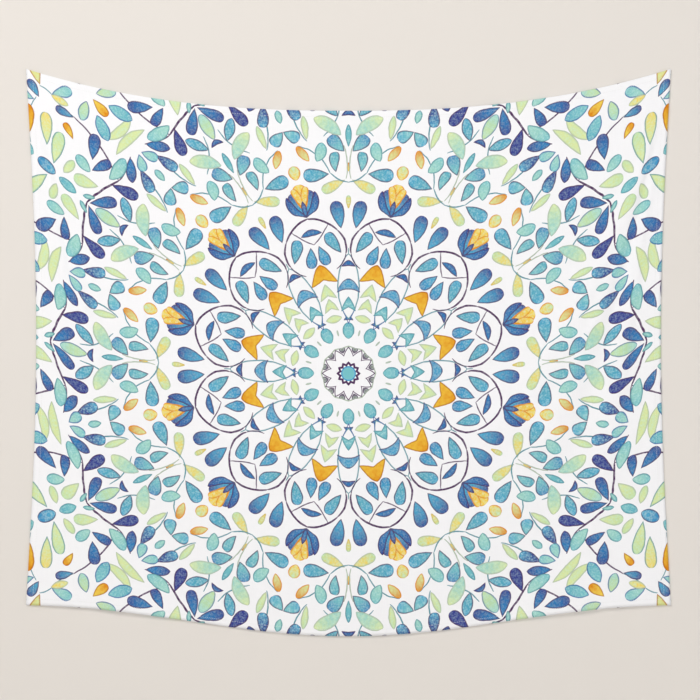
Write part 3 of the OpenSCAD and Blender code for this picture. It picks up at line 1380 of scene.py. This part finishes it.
@dataclass
class PrintedPanel(ClothWork):
    """The printed sheet itself."""

    columns: int = 220
    rows: int = 200
    gather: float = 1.3

    def build(self) -> bpy.types.Object:
        """Builds the hung sheet from a flat grid, whose rows are closer where the cloth bends at its top.

        Returns:
            The sheet.
        """
        mesh = bmesh.new()
        chart = mesh.loops.layers.uv.new("cut")
        bmesh.ops.create_grid(mesh, x_segments=self.columns, y_segments=self.rows, size=0.5)
        for vert in mesh.verts:
            vert.co.y = 0.5 - max(0.0, 0.5 - vert.co.y) ** self.gather
        for face in mesh.faces:
            middle = face.calc_center_median()
            face.material_index = ring_of(middle.x + 0.5, middle.y + 0.5)
            for loop in face.loops:
                loop[chart].uv = (loop.vert.co.x + 0.5, loop.vert.co.y + 0.5)
        for vert in mesh.verts:
            vert.co = self.shape.place(vert.co.x + 0.5, vert.co.y + 0.5)
        finishes = self.workshop.finishes
        sheet = self.workshop.finish("printed_sheet", mesh, [*finishes.front, *finishes.reverse])
        self.workshop.thicken(sheet, self.layers.sheet, back=RING_COUNT)
        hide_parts("printed_panel", "left_corner", "right_corner")
        across_hinge(sheet)
        return sheet


@dataclass
class TurnedHem(ClothWork):
    """One side's hem: the cloth folded to the back, so that its printed face shows behind."""

    side: Side
    width: float = 0.020
    mitre_gap: float = 0.0004
    cell: float = 0.0036
    strips: int = 6

    def build(self) -> bpy.types.Object:
        """Builds the hem from a flat strip with mitred ends.

        Returns:
            The hem.
        """
        mesh = bmesh.new()
        chart = mesh.loops.layers.uv.new("cut")
        columns = round(self.side.length / self.cell)
        bmesh.ops.create_grid(mesh, x_segments=columns, y_segments=self.strips, size=0.5)
        spots = {vert: self.spot(vert.co.x + 0.5, vert.co.y + 0.5) for vert in mesh.verts}
        for face in mesh.faces:
            for loop in face.loops:
                along, inset = spots[loop.vert]
                loop[chart].uv = self.side.point(along, -inset)
            face.material_index = ring_of(*face.loops[0][chart].uv)
        for vert, (along, inset) in spots.items():
            vert.co = self.shape.behind(*self.side.point(along, inset), self.layers.hem_back)
        face_back(mesh)
        finishes = self.workshop.finishes
        name = f"{self.side.value}_turned_hem"
        hem = self.workshop.finish(name, mesh, [*finishes.front, *finishes.reverse])
        self.workshop.thicken(hem, self.layers.hem_back - self.layers.hem_front, back=RING_COUNT)
        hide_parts(f"{self.side.value}_hem")
        follow_cloth(hem, self.side)
        return hem

    def spot(self, share: float, across: float) -> tuple[float, float]:
        """Places a point of the strip between its mitres.

        Args:
            share: The share along the strip.
            across: The share across it, 0 at the sheet's edge.

        Returns:
            The distance along the side and the distance in from the edge.
        """
        inset = across * self.width
        margin = inset + self.mitre_gap
        return margin + share * (self.side.length - 2 * margin), inset


def face_back(mesh: bmesh.types.BMesh) -> None:
    """Turns every face of a thin mesh to face the wall.

    Args:
        mesh: The mesh.
    """
    mesh.normal_update()
    wrong = [face for face in mesh.faces if face.normal.y < 0]
    bmesh.ops.reverse_faces(mesh, faces=wrong)


@dataclass
class Stitch:
    """One stitch that stands on a surface, in metres."""

    length: float = 0.0031
    width: float = 0.0008
    height: float = 0.0005

    @staticmethod
    def loop(mesh: bmesh.types.BMesh, place: Matrix) -> None:
        """Adds the visible loop of one stitch, whose faces are few because there are many of them."""
        bmesh.ops.create_uvsphere(mesh, u_segments=6, v_segments=4, radius=0.5, matrix=place)

    def add(self, mesh: bmesh.types.BMesh, middle: Vector, run: Vector) -> None:
        """Adds the stitch to a mesh.

        Args:
            mesh: The mesh to add to.
            middle: The stitch's centre.
            run: The direction it runs in, across the view from the front.
        """
        turn = Matrix.Rotation(math.atan2(-run.z, run.x), 4, "Y")
        size = Matrix.Diagonal((self.length, self.height, self.width, 1.0))
        self.loop(mesh, Matrix.Translation(middle) @ turn @ size)

    def line(self, mesh: bmesh.types.BMesh, start: Vector, end: Vector, count: int) -> None:
        """Adds an even line of stitches to a mesh.

        Args:
            mesh: The mesh to add to.
            start: Where the line starts.
            end: Where it ends.
            count: How many stitches there are.
        """
        for index in range(count):
            self.add(mesh, start.lerp(end, (index + 0.5) / count), end - start)

    def row(self, count: int, pitch: float) -> bmesh.types.BMesh:
        """Lays a straight row of stitches flat, along X from the origin, by doubling one.

        Args:
            count: How many stitches there are.
            pitch: The distance between them.

        Returns:
            The row's mesh.
        """
        mesh = bmesh.new()
        size = Matrix.Diagonal((self.length, self.width, self.height, 1.0))
        self.loop(mesh, Matrix.Translation((pitch / 2, 0, 0)) @ size)
        made = 1
        while made < count:
            copy_up(mesh, Vector((made * pitch, 0, 0)))
            made *= 2
        surplus = [vert for vert in mesh.verts if vert.co.x > count * pitch]
        bmesh.ops.delete(mesh, geom=surplus, context="VERTS")
        return mesh


def copy_up(mesh: bmesh.types.BMesh, shift: Vector) -> None:
    """Copies the whole mesh to one side of itself.

    Args:
        mesh: The mesh.
        shift: How far away the copy is.
    """
    parts = bmesh.ops.duplicate(mesh, geom=[*mesh.verts, *mesh.edges, *mesh.faces])["geom"]
    verts = [part for part in parts if isinstance(part, bmesh.types.BMVert)]
    bmesh.ops.translate(mesh, vec=shift, verts=verts)


@dataclass
class HemStitching(ClothWork):
    """The row of stitches along one hem, on the front and on the back."""

    side: Side
    inset: float = 0.015
    pitch: float = 0.0042
    stitch: Stitch = field(default_factory=Stitch)

    def build(self) -> bpy.types.Object:
        """Builds the row.

        Returns:
            The stitches as one piece.
        """
        row = self.side.length - 2 * self.inset
        count = round(row / self.pitch)
        mesh = self.stitch.row(count, row / count)
        copy_up(mesh, Vector((row / count / 2, 0, -self.layers.hem_back)))
        for vert in mesh.verts:
            along, aside, height = vert.co
            spot = self.side.point(self.inset + along, self.inset + aside)
            vert.co = self.shape.behind(*spot, -height)
        bmesh.ops.recalc_face_normals(mesh, faces=mesh.faces)
        piece = self.workshop.finish(f"{self.side.value}_stitches", mesh, [self.workshop.finishes.thread])
        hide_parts(f"{self.side.value}_hem_stitching")
        follow_cloth(piece, self.side)
        return piece


@dataclass
class EyeletTab:
    """The tape tab behind one upper corner, with its pressed eyelet and its stitches."""

    workshop: Workshop
    hand: str
    outline_points: int = 64
    hole: float = 0.0046
    tape: float = 0.0012
    foot_rise: float = 0.0045
    foot_round: float = 0.0004
    corner_power: float = 9.0
    barrel: float = 0.0040
    barrel_wall: float = 0.0009
    turns: int = 56

    def build(self) -> list[bpy.types.Object]:
        """Builds the tab, the eyelet and the stitches.

        Returns:
            The three pieces.
        """
        pieces = [self.build_tape(), self.build_eyelet(), self.build_stitches()]
        for piece in pieces:
            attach(piece, WALL_BODY)
        return pieces

    def build_tape(self) -> bpy.types.Object:
        """Builds the tape with its eyelet hole and its turned-under foot.

        Returns:
            The tape.
        """
        low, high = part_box(f"{self.hand}_tab")
        centre = Vector(((low.x + high.x) / 2, high.y, 0.0))
        mesh = bmesh.new()
        rim = bmesh.ops.create_circle(mesh, segments=self.outline_points, radius=1.0)["verts"]
        for vert in rim:
            vert.co = self.outline(vert.co.to_2d(), low, high, centre)
        hole = bmesh.ops.create_circle(mesh, segments=self.outline_points, radius=self.hole)["verts"]
        for vert in hole:
            vert.co = Vector((centre.x + vert.co.x, centre.y, vert.co.y))
        bmesh.ops.bridge_loops(mesh, edges=mesh.edges[:])
        face_back(mesh)
        middle = Vector((centre.x, (low.y + high.y - self.tape) / 2, low.z + self.foot_rise / 2))
        foot = Matrix.Diagonal((high.x - low.x, high.y - self.tape - low.y, self.foot_rise, 1.0))
        bmesh.ops.solidify(mesh, geom=mesh.faces[:], thickness=self.tape)
        added = bmesh.ops.create_cube(mesh, size=1.0, matrix=Matrix.Translation(middle) @ foot)["verts"]
        edges = list({edge for vert in added for edge in vert.link_edges})
        bmesh.ops.bevel(
            mesh, geom=edges, offset=self.foot_round, segments=3, profile=0.5, affect="EDGES", material=-1)
        tape = self.workshop.finish(f"{self.hand}_tape_tab", mesh, [self.workshop.finishes.tape], False)
        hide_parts(f"{self.hand}_tab")
        return tape

    def outline(self, point: Vector, low: Vector, high: Vector, centre: Vector) -> Vector:
        """Carries a point of a circle to the tape's outline, with rounded corners.

        Args:
            point: The point on the unit circle.
            low: The tape's least corner.
            high: The tape's greatest corner.
            centre: The eyelet's centre on the tape's back.

        Returns:
            The point on the outline.
        """
        power = self.corner_power
        spread = (abs(point.x) ** power + abs(point.y) ** power) ** (1 / power)
        across, up = point.x / spread, point.y / spread
        half = (high.x - low.x) / 2
        rise = high.z if up > 0 else -low.z
        return Vector((centre.x + across * half, centre.y, up * rise))

    def build_eyelet(self) -> bpy.types.Object:
        """Builds the eyelet by turning its section about its axis.

        Returns:
            The eyelet.
        """
        low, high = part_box(f"{self.hand}_eyelet")
        centre = (low + high) / 2
        inner, outer, thick = self.barrel, (high.x - low.x) / 2, high.y - low.y
        wall = inner + self.barrel_wall
        back = [
            (inner, 0.50), (inner, 0.86), (inner + 0.0003, 0.96), (wall, 1.0),
            (outer - 0.0012, 0.99), (outer - 0.0003, 0.88), (outer, 0.77), (outer - 0.0002, 0.73),
            (wall, 0.73),
        ]
        front = [
            (wall, 0.27), (outer - 0.0002, 0.27), (outer, 0.23), (outer - 0.0003, 0.12),
            (outer - 0.0012, 0.01), (wall, 0.0), (inner + 0.0003, 0.04), (inner, 0.14),
        ]
        mesh = bmesh.new()
        places = [(centre.x + reach, low.y + share * thick, centre.z) for reach, share in back + front]
        verts = [mesh.verts.new(place) for place in places]
        edges = [mesh.edges.new((verts[index], verts[index - 1])) for index in range(len(verts))]
        bmesh.ops.spin(
            mesh, geom=[*verts, *edges], cent=centre, axis=(0, 1, 0), angle=2 * math.pi, steps=self.turns,
            use_merge=True)
        bmesh.ops.remove_doubles(mesh, verts=mesh.verts, dist=1e-6)
        bmesh.ops.recalc_face_normals(mesh, faces=mesh.faces)
        eyelet = self.workshop.finish(f"{self.hand}_pressed_eyelet", mesh, [self.workshop.finishes.metal])
        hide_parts(f"{self.hand}_eyelet")
        return eyelet

    def build_stitches(self) -> bpy.types.Object:
        """Builds the two short rows that sew the tab's foot down.

        Returns:
            The stitches.
        """
        low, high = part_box(f"{self.hand}_tab_stitching")
        mesh = bmesh.new()
        stitch = Stitch(0.0022, 0.0006, 0.0004)
        for z in (low.z + stitch.height, high.z - stitch.height):
            stitch.line(mesh, Vector((low.x, low.y, z)), Vector((high.x, low.y, z)), 5)
        piece = self.workshop.finish(f"{self.hand}_tab_stitches", mesh, [self.workshop.finishes.thread])
        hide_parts(f"{self.hand}_tab_stitching")
        return piece


@dataclass
class CareLabel(ClothWork):
    """The blank ribbon label sewn into one side hem, and its stitches."""

    caught: float = 0.0040
    lift: float = 0.0080
    curl: float = 0.0010
    clear: float = 0.0001
    turn: float = 0.0010
    thickness: float = 0.00022
    columns: int = 36
    rows: int = 14

    def build(self) -> list[bpy.types.Object]:
        """Builds the label and its stitches."""
        return [self.build_ribbon(), self.build_stitches()]

    def build_ribbon(self) -> bpy.types.Object:
        """Builds the ribbon with a slight curl to the wall.

        Returns:
            The ribbon.
        """
        low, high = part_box("care_label")
        root_x = low.x - self.caught
        share_up = 1 - (self.shape.corner_z - (low.z + high.z) / 2) / self.shape.side_h
        in_hem = self.shape.behind(self.shape.hem_w / CUT.width, share_up, self.layers.hem_front).y
        mesh = bmesh.new()
        bmesh.ops.create_grid(mesh, x_segments=self.columns, y_segments=self.rows, size=0.5)
        for vert in mesh.verts:
            along, up = vert.co.x + 0.5, vert.co.y + 0.5
            x = root_x + along * (high.x - root_x)
            risen = smooth(low.x, low.x + self.lift, x)
            wave = 0.12 * math.sin(2.6 * math.pi * along) * (up - 0.5)
            away = self.curl * (along ** 2.2 + wave * along)
            y = in_hem + risen * (low.y + self.clear + away - in_hem)
            vert.co = Vector((x, y, low.z + up * (high.z - low.z)))
        face_back(mesh)
        ribbon = self.workshop.finish("ribbon_label", mesh, [self.workshop.finishes.label])
        self.workshop.thicken(ribbon, self.thickness, offset=0)
        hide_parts("care_label")
        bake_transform(ribbon)
        return ribbon

    def build_stitches(self) -> bpy.types.Object:
        """Builds the row that sews the label to the hem.

        Returns:
            The stitches.
        """
        low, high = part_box("care_label_stitching")
        x, y = (low.x + high.x) / 2, low.y - self.clear
        mesh = bmesh.new()
        Stitch(0.0026, 0.0007, 0.0004).line(mesh, Vector((x, y, low.z)), Vector((x, y, high.z)), 7)
        piece = self.workshop.finish("ribbon_label_stitches", mesh, [self.workshop.finishes.thread])
        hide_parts("care_label_stitching")
        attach(piece, CLOTH_BODY)
        return piece


# ---------------------------------------------------------------- stage

@dataclass
class Stage:
    """The plain wall, floor, soft lights and camera."""

    wall_y: float = 0.0005
    wall_w: float = 9.0
    wall_h: float = 6.0
    floor_drop: float = 0.9
    near: float = 0.05
    wall_tone: Tone = (0.722, 0.684, 0.645, 1.0)
    floor_tone: Tone = (0.78, 0.76, 0.73, 1.0)
    sky_tone: Tone = (1.0, 0.99, 0.975, 1.0)
    sky_strength: float = 0.48
    camera_back: float = 4.2
    camera_right: float = 0.0035
    camera_up: float = 0.006
    view_w: float = 1.637

    def build(self) -> None:
        """Builds the stage, the lights and the camera."""
        middle = (CAD_LOW + CAD_HIGH) / 2
        floor_z = CAD_LOW.z - self.floor_drop
        against_wall = Matrix.Translation((0, self.wall_y, floor_z + self.wall_h / 2))
        upright = against_wall @ Matrix.Rotation(math.pi / 2, 4, "X")
        wall = self.plane("wall", (self.wall_w, self.wall_h), upright, self.painted_wall())
        flat = Matrix.Translation((0, 0, floor_z))
        floor = self.plane("floor", (self.wall_w, self.wall_w), flat, self.painted_floor())
        self.light("Key", (-2.0, -4.2, middle.z + 3.0), 2.4, 160.0, (1.0, 0.985, 0.965), middle)
        self.light("Fill", (3.0, -4.6, middle.z - 1.2), 3.6, 105.0, (0.97, 0.985, 1.0), middle)
        self.light("Back", (0.6, 3.0, middle.z + 1.4), 2.6, 60.0, (1.0, 1.0, 1.0), middle)
        self.sky()
        self.camera(middle)
        bpy.context.scene.view_settings.view_transform = "Standard"

    @staticmethod
    def plane(name: str, size: tuple[float, float], place: Matrix,
              paint: bpy.types.Material) -> bpy.types.Object:
        """Makes a flat rectangle.

        Args:
            name: The object's name.
            size: Its width and length.
            place: What brings it from the origin to its place.
            paint: Its material.

        Returns:
            The object.
        """
        mesh = bmesh.new()
        bmesh.ops.create_grid(mesh, x_segments=1, y_segments=1, size=0.5)
        bmesh.ops.scale(mesh, vec=(*size, 1.0), verts=mesh.verts)
        bmesh.ops.transform(mesh, matrix=place, verts=mesh.verts)
        return Workshop.finish(name, mesh, [paint], False)

    def painted_floor(self) -> bpy.types.Material:
        """The floor's plain paint.

        Returns:
            The material.
        """
        finish = Finish("Pale floor", 0.7, sheen=0.0)
        graph, material = finish.begin()
        finish.close(graph, self.floor_tone)
        return material

    def painted_wall(self) -> bpy.types.Material:
        """The wall's paint, which doesn't hide the hanging's back.

        Returns:
            The material.
        """
        graph, material = Finish("Painted wall").begin()
        shader = graph.add("ShaderNodeBsdfDiffuse")
        shader.inputs["Color"].default_value = self.wall_tone
        clear = graph.add("ShaderNodeBsdfTransparent")
        behind = graph.add("ShaderNodeNewGeometry").outputs["Backfacing"]
        near = graph.math("LESS_THAN", graph.add("ShaderNodeLightPath").outputs["Ray Length"], self.near)
        open_wall = graph.math("MAXIMUM", behind, near)
        both = graph.add("ShaderNodeMixShader")
        graph.feed(both.inputs[0], open_wall)
        graph.feed(both.inputs[1], shader.outputs[0])
        graph.feed(both.inputs[2], clear.outputs[0])
        out = graph.add("ShaderNodeOutputMaterial")
        graph.feed(out.inputs["Surface"], both.outputs[0])
        return material

    @staticmethod
    def light(name: str, place: tuple[float, float, float], size: float, power: float,
              colour: tuple[float, float, float], aim: Vector) -> None:
        """Adds one square soft light.

        Args:
            name: The light's name.
            place: Where it is.
            size: Its side in metres.
            power: Its power in watts.
            colour: Its colour.
            aim: What it faces.
        """
        data = bpy.data.lights.new(name, "AREA")
        data.size = size
        data.energy = power
        data.color = colour
        lamp = bpy.data.objects.new(name, data)
        lamp.location = place
        lamp.rotation_euler = (aim - Vector(place)).to_track_quat("-Z", "Y").to_euler()
        bpy.context.scene.collection.objects.link(lamp)

    def sky(self) -> None:
        """Sets an even pale surround."""
        world = bpy.data.worlds.new("Surround")
        world.use_nodes = True
        surround = world.node_tree.nodes["Background"].inputs
        surround["Color"].default_value = self.sky_tone
        surround["Strength"].default_value = self.sky_strength
        bpy.context.scene.world = world

    def camera(self, middle: Vector) -> None:
        """Sets the camera straight in front of the hanging.

        Args:
            middle: The middle of the hanging.
        """
        data = bpy.data.cameras.new("Camera")
        data.lens = data.sensor_width * (self.camera_back + middle.y) / self.view_w
        camera = bpy.data.objects.new("Camera", data)
        camera.location = (self.camera_right, -self.camera_back, middle.z + self.camera_up)
        camera.rotation_euler = (math.pi / 2, 0, 0)
        bpy.context.scene.collection.objects.link(camera)
        bpy.context.scene.camera = camera


# ---------------------------------------------------------------- assembly

def main() -> None:
    """Builds the hanging's pieces round the frame, and the stage."""
    Stage().build()
    workshop = Workshop(Finishes())
    shape, layers = HungShape(), ClothLayers()
    sheet = PrintedPanel(workshop, shape, layers).build()
    sewn: list[bpy.types.Object] = []
    for side in Side:
        sewn.append(TurnedHem(workshop, shape, layers, side).build())
        sewn.append(HemStitching(workshop, shape, layers, side).build())
    sewn.extend(CareLabel(workshop, shape, layers).build())
    CUT.length
    tabs = [piece for hand in ("left", "right") for piece in EyeletTab(workshop, hand).build()]
    for piece in (sheet, *sewn, *tabs):
        LOG.info("%s: %d faces", piece.name, len(piece.data.polygons))


if __name__ == "__main__":
    main()
